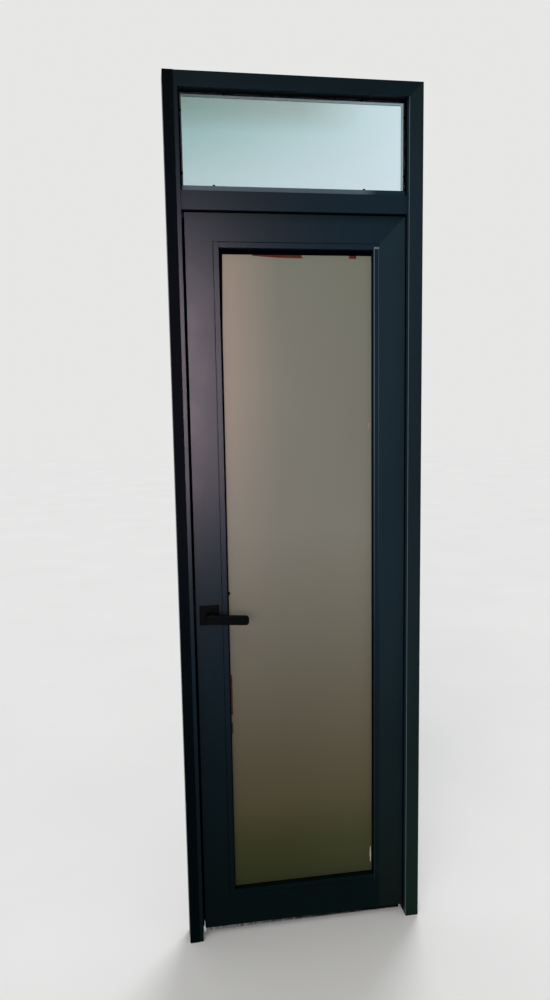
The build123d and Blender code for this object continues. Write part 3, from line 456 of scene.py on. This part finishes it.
materials = {
    "coat": powder_coat("coated_profile"),
    "jamb_coat": lit_return_coat("coated_hinge_jamb_painted_light", mid_rail_high.x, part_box("hinge_jamb")[0].y),
    "bead_coat": edge_lit_bead_coat("coated_hinge_side_bead_painted_highlight", top_bead_high.x,
                                    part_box("leaf_bead_hinge_side")[1].x - BEAD_TONGUE,
                                    top_bead_low.y),
    # The hinge stile's coat is lighter than the rest: painted light on the hinge side
    "hinge_stile_coat": powder_coat("coated_hinge_stile_painted_light", (14, 28, 26), (33, 52, 63)),
    "foot_coat": powder_coat("coated_foot_rail", (9, 25, 27), specular=0.014),
    "lock_jamb_coat": powder_coat("coated_lock_jamb", (8, 26, 29), specular=0.029),
    "head_coat": shaded_head_coat("coated_top_rail_painted_shade",
                                  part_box("hinge_stile")[1].z - LEAF_FLANGE_REACH),
    "strip": powder_coat("cover_strip", STRIP_BLACK, (12, 18, 26), (14, 17, 20), 0.5, 0.002),
    "mill": mill_metal("mill_aluminium", (150, 151, 153), (190, 191, 192)),
    "steel": mill_metal("zinc_plated_steel", (126, 127, 126), (170, 170, 166), 0.3),
    "dark_steel": mill_metal("dark_latch_steel", (26, 28, 30), (38, 40, 42), 0.4),
    # The fanlight's spacer is near white: painted light from behind the fanlight
    "glass_spacer": plastic("fanlight_spacer_painted_light", (228, 241, 244), (236, 247, 250)),
    "rubber": soft_rubber("black_rubber", RUBBER, (12, 13, 15)),
    # Dull black for painted shade on the glass and in the gaps beside the leaf
    "painted_shade_black": soft_rubber("dull_black_painted_shade", (2, 2, 5), (4, 3, 7), 0.0),
    "stop": grey_stop(),
    "packer": plastic("packer_plastic", grey(20), (34, 33, 32)),
    "frosted": frosted_glass(),
    "fanlight": fanlight_glass(),
    "clear": clear_glass("clear_glass", (240, 247, 246), (242, 248, 247)),
    "spacer": mill_metal("dark_spacer", (26, 27, 28), (44, 45, 46), 0.4),
    "brush": plastic("brush_fibre", (10, 10, 11), (24, 24, 25), 0.8),
    "lever": powder_coat("lever_coating", (6, 10, 12), LEVER_BLACK, LEVER_BLACK, 0.34, 0.008),
}

finishes = {
    "lock_jamb_coat": ["lock_jamb"],
    "hinge_stile_coat": ["hinge_stile"],
    "foot_coat": ["leaf_bottom_rail", "leaf_bead_bottom"],
    "coat": [
        "head_rail", "mid_rail", "fanlight_bead_top", "fanlight_bead_bottom",
        "fanlight_bead_lock_side", "fanlight_bead_hinge_side", "hinge_frame_wing_bottom",
        "hinge_frame_wing_middle", "hinge_frame_wing_top", "lock_stile", "leaf_bead_top",
        "leaf_bead_lock_side", "hinge_leaf_wing_bottom", "hinge_leaf_wing_middle",
        "hinge_leaf_wing_top",
    ],
    "jamb_coat": ["hinge_jamb"],
    "bead_coat": ["leaf_bead_hinge_side"],
    "head_coat": ["leaf_top_rail"],
    "glass_spacer": ["fanlight_spacer"],
    "dark_steel": ["latch_bolt"],
    "strip": ["lock_side_cover_strip"],
    "mill": [
        "frame_corner_cleats", "mid_rail_connectors", "leaf_corner_cleats",
        "bottom_rail_connectors", "brush_holder",
    ],
    "steel": [
        "lock_case", "spindle", "lock_follower", "frame_screws", "leaf_screws", "rose_bolts",
        "hinge_pins",
    ],
    "rubber": [
        "rebate_seal", "overlap_seal", "fanlight_front_gasket", "fanlight_rear_gasket",
        "leaf_front_gasket", "leaf_rear_gasket",
    ],
    "stop": ["fanlight_bottom_stop"],
    "packer": ["fanlight_packers", "leaf_setting_blocks"],
    "frosted": ["leaf_inner_pane"],
    "fanlight": ["fanlight_inner_pane", "fanlight_outer_pane"],
    "clear": ["leaf_outer_pane"],
    "spacer": ["leaf_spacer"],
    "brush": ["brush_strip"],
    # The strike plate and faceplate take the levers' black, which also stands in for the shade in
    # the lock-side gap
    "lever": [
        "front_lever", "rear_lever", "front_rose", "rear_rose", "strike_plate", "faceplate",
    ],
}


def paint_nodes():
    for finish_name, names in finishes.items():
        for name in names:
            nodes[name].data.materials.clear()
            nodes[name].data.materials.append(materials[finish_name])


def start_mesh(primitive, name, **settings):
    """Add a primitive alone in the selection, with its place in its mesh."""
    bpy.ops.object.select_all(action="DESELECT")
    primitive(**settings)
    piece = bpy.context.object
    piece.name = name
    bpy.ops.object.transform_apply(location=True, rotation=True, scale=True)
    return piece


def select_alone(piece):
    bpy.ops.object.select_all(action="DESELECT")
    bpy.context.view_layer.objects.active = piece
    piece.select_set(True)


def pick(piece, kind, test):
    """Select the vertices or faces of a piece in edit mode whose place passes the test."""
    select_alone(piece)
    bpy.ops.object.mode_set(mode="EDIT")
    bpy.ops.mesh.select_mode(type=kind)
    bpy.ops.mesh.select_all(action="DESELECT")
    bpy.ops.object.mode_set(mode="OBJECT")
    for part in piece.data.vertices if kind == "VERT" else piece.data.polygons:
        part.select = test(part.co if kind == "VERT" else part.center)
    bpy.ops.object.mode_set(mode="EDIT")


def leave_edit_mode():
    bpy.ops.object.mode_set(mode="OBJECT")


def reshape(piece, kind, test, operator, **settings):
    """Run one operator on the vertices or faces of a piece whose place passes the test."""
    pick(piece, kind, test)
    operator(**settings)
    leave_edit_mode()


def box_piece(name, low, high):
    """Box between two corners."""
    middle = [(a + b) / 2 for a, b in zip(low, high)]
    size = [b - a for a, b in zip(low, high)]
    cube = bpy.ops.mesh.primitive_cube_add
    return start_mesh(cube, name, size=1, location=middle, scale=size)


def joined(pieces, name):
    bpy.ops.object.select_all(action="DESELECT")
    for piece in pieces:
        piece.select_set(True)
    bpy.context.view_layer.objects.active = pieces[0]
    bpy.ops.object.join()
    pieces[0].name = name
    return pieces[0]


def add_modifier(piece, kind, **settings):
    """Add a modifier and apply it at once."""
    select_alone(piece)
    modifier = piece.modifiers.new(kind.lower(), kind)
    for key, value in settings.items():
        setattr(modifier, key, value)
    bpy.ops.object.modifier_apply(modifier=modifier.name)


def finish(piece, material, body, replaced=()):
    """Give a piece its material, its body and the nodes that it stands for."""
    piece.data.materials.clear()
    piece.data.materials.append(material)
    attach(piece, body)
    if replaced:
        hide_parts(*replaced)


def model_screw():
    """Countersunk screw with a cross recess, head upwards, with its top at the origin."""
    screw = start_mesh(bpy.ops.mesh.primitive_cylinder_add, "screw", vertices=24,
                       radius=SCREW_RADIUS, depth=SCREW_LENGTH, location=(0, 0, -SCREW_LENGTH / 2))
    reshape(screw, "FACE", lambda c: True, bpy.ops.mesh.bisect,
            plane_co=(0, 0, -SCREW_HEAD_HEIGHT), plane_no=(0, 0, 1))
    widening = SCREW_HEAD_RADIUS / SCREW_RADIUS
    reshape(screw, "VERT", lambda c: c.z > -TOLERANCE, bpy.ops.transform.resize,
            value=(widening, widening, 1))
    reshape(screw, "VERT", lambda c: c.z < -SCREW_LENGTH + TOLERANCE, bpy.ops.transform.resize,
            value=(SCREW_POINT_SHARE, SCREW_POINT_SHARE, 1))
    for turn in (0, math.pi / 2):
        recess = start_mesh(bpy.ops.mesh.primitive_cube_add, "slot_cutter", size=1,
                            scale=RECESS_SIZE, rotation=(0, 0, turn))
        reshape(recess, "VERT", lambda c: c.z < 0, bpy.ops.transform.resize,
                value=(RECESS_FOOT_SHARE, RECESS_FOOT_SHARE, 1))
        add_modifier(screw, "BOOLEAN", operation="DIFFERENCE", object=recess)
        bpy.data.objects.remove(recess)
    return screw


def screw_places():
    """Place and outward direction of each screw in the frame and in the leaf."""
    in_frame, in_leaf = [], []
    frame_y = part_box("hinge_jamb")[1].y + FRAME_WING_THICKNESS
    leaf_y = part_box("hinge_stile")[1].y + LEAF_WING_THICKNESS
    for hinge in ("bottom", "middle", "top"):
        frame_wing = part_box("hinge_frame_wing_" + hinge)
        frame_x = frame_wing[1].x - FRAME_WING_SCREW_INSET
        leaf_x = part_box("hinge_leaf_wing_" + hinge)[0].x + LEAF_WING_SCREW_INSET
        middle = (frame_wing[0].z + frame_wing[1].z) / 2
        for rise in (-SCREW_SPREAD, 0, SCREW_SPREAD):
            in_frame.append(((frame_x, frame_y, middle + rise), "rear"))
            in_leaf.append(((leaf_x, leaf_y, middle + rise), "rear"))
    strike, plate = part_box("strike_plate"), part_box("faceplate")
    for z in (strike[0].z + PLATE_SCREW_INSET, strike[1].z - PLATE_SCREW_INSET):
        in_frame.append(((strike[1].x, 0, z), "hinge_side"))
    for z in (plate[0].z + PLATE_SCREW_INSET, plate[1].z - PLATE_SCREW_INSET):
        in_leaf.append(((plate[0].x, 0, z), "lock_side"))
    return in_frame, in_leaf


def make_screws():
    turns = {
        "rear": (-math.pi / 2, 0, 0),
        "hinge_side": (0, math.pi / 2, 0),
        "lock_side": (0, -math.pi / 2, 0),
    }
    pattern = model_screw()
    chance = random.Random(SCREW_SEED)
    for places, name, body in zip(screw_places(), ("frame_screws", "leaf_screws"),
                                  ("frame", "leaf")):
        copies = []
        for place, way in places:
            copy = pattern.copy()
            copy.data = pattern.data.copy()
            bpy.context.collection.objects.link(copy)
            own_turn = Matrix.Rotation(chance.uniform(0, math.pi), 4, "Z")
            outward = Euler(turns[way]).to_matrix().to_4x4()
            copy.data.transform(Matrix.Translation(place) @ outward @ own_turn)
            copies.append(copy)
        set_of_screws = joined(copies, name + "_recessed")
        finish(set_of_screws, materials["steel"], body, [name])
    bpy.data.objects.remove(pattern)


def make_brush():
    """Brush along the foot: a backing strip and rows of tufts that lean in towards their tips."""
    low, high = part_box("brush_strip")
    backing_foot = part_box("brush_holder")[0].z + BACKING_RISE
    backing = box_piece("brush_backing", (low.x, low.y, backing_foot), high)
    length = backing_foot - low.z + TUFT_ROOTING
    pitch_y = (high.y - low.y) / TUFT_ROWS
    first_place = (low.x + TUFT_PITCH, low.y + pitch_y / 2, low.z + length / 2)
    tuft = start_mesh(bpy.ops.mesh.primitive_cone_add, "tuft", vertices=5,
                      radius1=TUFT_TIP_RADIUS, radius2=TUFT_ROOT_RADIUS, depth=length,
                      location=first_place)
    in_a_row = int((high.x - low.x) / TUFT_PITCH) - 1
    for count, step in ((in_a_row, (TUFT_PITCH, 0, 0)), (TUFT_ROWS, (0, pitch_y, 0))):
        add_modifier(tuft, "ARRAY", count=count, use_relative_offset=False,
                     use_constant_offset=True, constant_offset_displace=step)
    pick(tuft, "VERT", lambda c: c.z < low.z + TIP_ZONE)
    bpy.ops.transform.resize(value=(1, TUFT_LEAN, 1), center_override=(0, 0, low.z))
    bpy.ops.transform.vertex_random(offset=TUFT_SCATTER, seed=BRUSH_SEED)
    leave_edit_mode()
    # No tip goes below the brush's own foot
    reshape(tuft, "VERT", lambda c: c.z < low.z, bpy.ops.transform.resize,
            value=(1, 1, 0), center_override=(0, 0, low.z))
    brush = joined([backing, tuft], "brush_tufts")
    finish(brush, materials["brush"], "leaf", ["brush_strip"])


def sliver(name, left, right, foot, top, front, thickness, taper=1.0):
    """Thin bit on the glass or a profile, narrower at its left end where taper is under 1."""
    piece = box_piece(name, (left, front - thickness, foot), (right, front, top))
    if taper < 1:
        reshape(piece, "VERT", lambda c: c.x < (left + right) / 2, bpy.ops.transform.resize,
                value=(1, 1, taper), center_override=(left, front, top))
    return piece


def make_bits_on_glass():
    """Scraps of tape and sealant that the glazing has kept, and the raw end of a bead."""
    scrap_materials = {name: plastic(name, *look) for name, look in SCRAP_COLOURS.items()}
    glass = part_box("leaf_inner_pane")[0].y
    raw_end = top_bead_low.y + RAW_END_PROUD
    for name, (colour, left, right, foot, top, thickness, taper) in SCRAPS.items():
        front = raw_end if name == "bead_raw_end" else glass
        piece = sliver(name, left, right, foot, top, front, thickness * MM, taper)
        if name == "red_tape_long":
            sag_foot(piece, left, right)
            point_corner(piece, right)
        if "sealant" in name:
            narrow_ends(piece, foot, top)
        finish(piece, scrap_materials[colour], "leaf")


def narrow_ends(piece, foot, top):
    """Give an upright dab of sealant narrow ends."""
    reshape(piece, "FACE", lambda c: True, bpy.ops.mesh.bisect,
            plane_co=(0, 0, (foot + top) / 2), plane_no=(0, 0, 1))
    for end in (foot, top):
        reshape(piece, "VERT", lambda c: abs(c.z - end) < MM, bpy.ops.transform.resize,
                value=(SEALANT_END_SHARE, 1, 1))


def sag_foot(piece, left, right):
    """Let the lower edge of a tape sag between its ends."""
    reshape(piece, "FACE", lambda c: True, bpy.ops.mesh.subdivide, number_cuts=SAG_CUTS)
    for column in range(1, SAG_CUTS + 1):
        share = column / (SAG_CUTS + 1)
        x = left + (right - left) * share
        foot = min(v.co.z for v in piece.data.vertices if abs(v.co.x - x) < MM)
        reshape(piece, "VERT", lambda c: abs(c.x - x) < MM and c.z < foot + MM,
                bpy.ops.transform.translate, value=(0, 0, -TAPE_SAG * math.sin(math.pi * share)))


def point_corner(piece, right):
    """Draw out the lower corner at the right end of a tape."""
    foot = min(v.co.z for v in piece.data.vertices if v.co.x > right - MM)
    reshape(piece, "VERT", lambda c: c.x > right - MM and c.z < foot + 2 * MM,
            bpy.ops.transform.translate, value=(TAPE_POINT, 0, 0))


def make_dark_border():
    """Black, dull film on the glass: painted shade under the top bead and beside the lock-side
    bead.
    """
    left, right, top = top_bead_low.x, top_bead_high.x, top_bead_low.z
    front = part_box("leaf_inner_pane")[0].y
    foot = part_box("leaf_bead_bottom")[1].z
    pieces = [sliver("border_top", left, right, top - BORDER_TOP_DEPTH, top, front, BORDER_FILM)]
    for name, wide, narrow, low_z, high_z in (
        ("border_upper", BORDER_WIDE, BORDER_NARROW, BORDER_KNEE_Z, top - BORDER_TOP_DEPTH),
        ("border_lower", BORDER_NARROW, BORDER_THIN, foot, BORDER_KNEE_Z),
    ):
        side = sliver(name, left, left + wide, low_z, high_z, front, BORDER_FILM)
        reshape(side, "VERT", lambda c: c.z < low_z + MM and c.x > left + MM,
                bpy.ops.transform.translate, value=(narrow - wide, 0, 0))
        pieces.append(side)
    finish(joined(pieces, "dark_border"), materials["painted_shade_black"], "leaf")


def make_gap_seal():
    """Flat seal on the leaf's rear flange beside each stile, down to just above the floor.

    It also stands in for the shade in the gaps, as black and dull as the painted shade on the
    glass, and shares its material.
    """
    left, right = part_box("lock_stile")[0].x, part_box("hinge_stile")[1].x
    behind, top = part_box("hinge_stile")[1].y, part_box("hinge_stile")[1].z - GAP_SEAL_HEAD_GAP
    front = behind - LEAF_FLANGE_THICKNESS
    near = front - GAP_SEAL_THICKNESS
    foot = GAP_SEAL_FLOOR_GAP
    lock_edge = mid_rail_low.x + GAP_SEAL_CLEARANCE
    hinge_edge = mid_rail_high.x - GAP_SEAL_CLEARANCE
    lock_side = box_piece("lock_side", (lock_edge, near, foot),
                          (left + LEAF_FLANGE_REACH, front, top))
    hinge_side = box_piece("hinge_side", (right - LEAF_FLANGE_REACH, near, foot),
                           (hinge_edge, front, top))
    seal = joined([lock_side, hinge_side], "gap_seal")
    finish(seal, materials["painted_shade_black"], "leaf")


def make_gasket_nubs():
    """Small moulded nubs along the inner edge of the fanlight's front gasket, two at each side."""
    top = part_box("fanlight_bead_lock_side")[1].z
    stop_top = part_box("fanlight_bottom_stop")[1].z
    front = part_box("fanlight_inner_pane")[0].y
    places = [(x, top - GASKET_WIDTH) for x in TOP_NUBS_X]
    places += [(x, stop_top) for x in FOOT_NUBS_X]
    places += [(mid_rail_low.x + GASKET_WIDTH, z) for z in LOCK_SIDE_NUBS_Z]
    places += [(mid_rail_high.x - GASKET_WIDTH, z) for z in HINGE_SIDE_NUBS_Z]
    middle = front - NUB_HEIGHT / 2
    nubs = []
    for x, z in places:
        nub = start_mesh(bpy.ops.mesh.primitive_cylinder_add, "nub", vertices=12,
                         radius=NUB_RADIUS, depth=NUB_HEIGHT, location=(x, middle, z),
                         rotation=(math.pi / 2, 0, 0))
        reshape(nub, "VERT", lambda c: c.y < middle, bpy.ops.transform.resize,
                value=(NUB_FRONT_SHARE, 1, NUB_FRONT_SHARE), center_override=(x, front, z))
        nubs.append(nub)
    finish(joined(nubs, "gasket_nubs"), materials["rubber"], "frame")


def make_sagging_levers():
    """The levers as they hang in the photograph, a few degrees below level."""
    for side in ("front", "rear"):
        low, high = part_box(side + "_rose")
        spindle = ((low.x + high.x) / 2, 0, (low.z + high.z) / 2)
        lever = nodes[side + "_lever"].copy()
        lever.data = lever.data.copy()
        bpy.context.collection.objects.link(lever)
        lever.name = "sagging_lever_" + side
        pick(lever, "FACE", lambda c: True)
        bpy.ops.mesh.remove_doubles(threshold=MERGE_DISTANCE)
        bpy.ops.transform.rotate(value=-LEVER_SAG, orient_axis="Y", center_override=spindle)
        leave_edit_mode()
        finish(lever, materials["lever"], "handle", [side + "_lever"])


def make_floor():
    bpy.ops.object.select_all(action="DESELECT")
    bpy.ops.mesh.primitive_plane_add(size=FLOOR_SIZE, location=(0, 0, 0))
    floor = bpy.context.object
    floor.name = "floor"
    material, tree, shader = new_material("floor")
    paler = tuple(value + 3 for value in FLOOR)
    colour = ramp(tree, noise(tree, 1.5, 4.0), [(0.3, FLOOR), (0.7, paler)])
    tree.links.new(colour, shader.inputs["Base Color"])
    shader.inputs["Roughness"].default_value = 0.9
    shader.inputs["Specular IOR Level"].default_value = 0.1
    floor.data.materials.append(material)


def coated_pieces():
    """The coated profiles, levers and frosted glass, which alone catch the sheen lamps."""
    group = bpy.data.collections.new("coated_pieces")
    for finish_name, names in finishes.items():
        if "coat" in finish_name or finish_name in ("strip", "lever", "stop", "frosted"):
            for name in names:
                group.objects.link(nodes[name])
    for side in ("front", "rear"):
        group.objects.link(bpy.data.objects["sagging_lever_" + side])
    return group


def add_lamp(name, light, colour, strength):
    """Give a light its colour and strength and put it in the scene."""
    light.energy = strength
    light.color = linear(colour)[:3]
    lamp = bpy.data.objects.new(name, light)
    bpy.context.scene.collection.objects.link(lamp)
    return lamp


def sheen_lamp(name, place, target, size, power, colour, spread, receivers):
    """Lamp that only adds a soft sheen to the coated pieces, and lights nothing else."""
    light = bpy.data.lights.new(name, "AREA")
    light.shape = "RECTANGLE"
    light.size, light.size_y = size
    light.spread = math.radians(spread)
    lamp = add_lamp(name, light, colour, power)
    lamp.location = place
    aim = Vector(target) - Vector(place)
    lamp.rotation_euler = aim.to_track_quat("-Z", "Y").to_euler()
    lamp.visible_camera = False
    lamp.visible_transmission = False
    lamp.visible_diffuse = False
    lamp.light_linking.receiver_collection = receivers


def sun(name, towards, strength, colour):
    """Soft sun lamp that shines from a direction and leaves no bright disc in the glass."""
    light = bpy.data.lights.new(name, "SUN")
    light.angle = SUN_SPREAD
    lamp = add_lamp(name, light, colour, strength)
    lamp.rotation_euler = Vector(towards).to_track_quat("Z", "Y").to_euler()
    lamp.visible_glossy = False
    lamp.visible_transmission = False


def make_lights():
    coated = coated_pieces()
    # The narrow beams stand in line with the lock jamb, so they miss its side faces and the
    # inner face of the hinge jamb
    jamb_x = (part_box("lock_jamb")[0].x + mid_rail_low.x) / 2
    for name, place, target, size, power, colour, spread in (
        ("sheen_by_viewer", (jamb_x, -2.35, 1.70), (jamb_x, 0, 1.60), (0.036, 1.22), 18.5,
         (255, 226, 238), 40),
        ("sheen_behind", (jamb_x, 2.6, 1.7), (jamb_x, 0, 1.5), (0.036, 1.4), 8,
         (240, 246, 255), 28),
        ("window_at_left", (-1.7, -1.7, 0.85), (-0.1, 0, 1.2), (0.8, 1.2), 14,
         (255, 248, 240), 180),
    ):
        sheen_lamp(name, place, target, size, power, colour, spread, coated)
    sun("low_front", (-0.35, -1.0, 0.1), 1.35, (255, 246, 242))
    sun("high_front", (-0.5, -1.0, 1.2), 0.5, (255, 250, 244))
    sun("high_rear", (0.5, 1.0, 0.8), 1.6, (250, 250, 255))


def make_world():
    """White sky light, with a pale background for the camera, gloss and clear glass."""
    world = bpy.data.worlds.new("studio")
    bpy.context.scene.world = world
    world.use_nodes = True
    tree = world.node_tree
    sky = tree.nodes["Background"]
    sky.inputs["Color"].default_value = (1.0, 1.0, 1.0, 1.0)
    sky.inputs["Strength"].default_value = SKY_STRENGTH
    seen = tree.nodes.new("ShaderNodeBackground")
    seen.inputs["Color"].default_value = linear(BACKGROUND)
    path = tree.nodes.new("ShaderNodeLightPath")
    shown = path.outputs["Is Camera Ray"]
    for ray in ("Is Glossy Ray", "Is Transmission Ray"):
        either = tree.nodes.new("ShaderNodeMath")
        either.operation = "MAXIMUM"
        tree.links.new(shown, either.inputs[0])
        tree.links.new(path.outputs[ray], either.inputs[1])
        shown = either.outputs[0]
    choice = tree.nodes.new("ShaderNodeMixShader")
    tree.links.new(shown, choice.inputs[0])
    tree.links.new(sky.outputs[0], choice.inputs[1])
    tree.links.new(seen.outputs[0], choice.inputs[2])
    tree.links.new(choice.outputs[0], tree.nodes["World Output"].inputs[0])


def make_camera():
    camera_data = bpy.data.cameras.new("camera")
    camera_data.sensor_fit = "VERTICAL"
    camera_data.sensor_height = SENSOR_HEIGHT
    camera_data.lens = FOCAL_PX / IMAGE_HEIGHT_PX * SENSOR_HEIGHT
    camera = bpy.data.objects.new("camera", camera_data)
    bpy.context.scene.collection.objects.link(camera)
    forward = Vector((
        math.sin(CAMERA_YAW) * math.cos(CAMERA_PITCH),
        math.cos(CAMERA_YAW) * math.cos(CAMERA_PITCH),
        -math.sin(CAMERA_PITCH),
    ))
    right = Vector((math.cos(CAMERA_YAW), -math.sin(CAMERA_YAW), 0))
    up = right.cross(forward)
    turned_right = right * math.cos(CAMERA_ROLL) + up * math.sin(CAMERA_ROLL)
    turned_up = up * math.cos(CAMERA_ROLL) - right * math.sin(CAMERA_ROLL)
    turn = Matrix((turned_right, turned_up, -forward)).transposed()
    camera.rotation_euler = turn.to_euler()
    camera.location = CAMERA_PLACE
    bpy.context.scene.camera = camera


paint_nodes()
make_screws()
make_brush()
make_bits_on_glass()
make_dark_border()
make_gap_seal()
make_gasket_nubs()
make_sagging_levers()
make_floor()
make_lights()
make_world()
make_camera()
bpy.context.scene.view_settings.view_transform = "Standard"
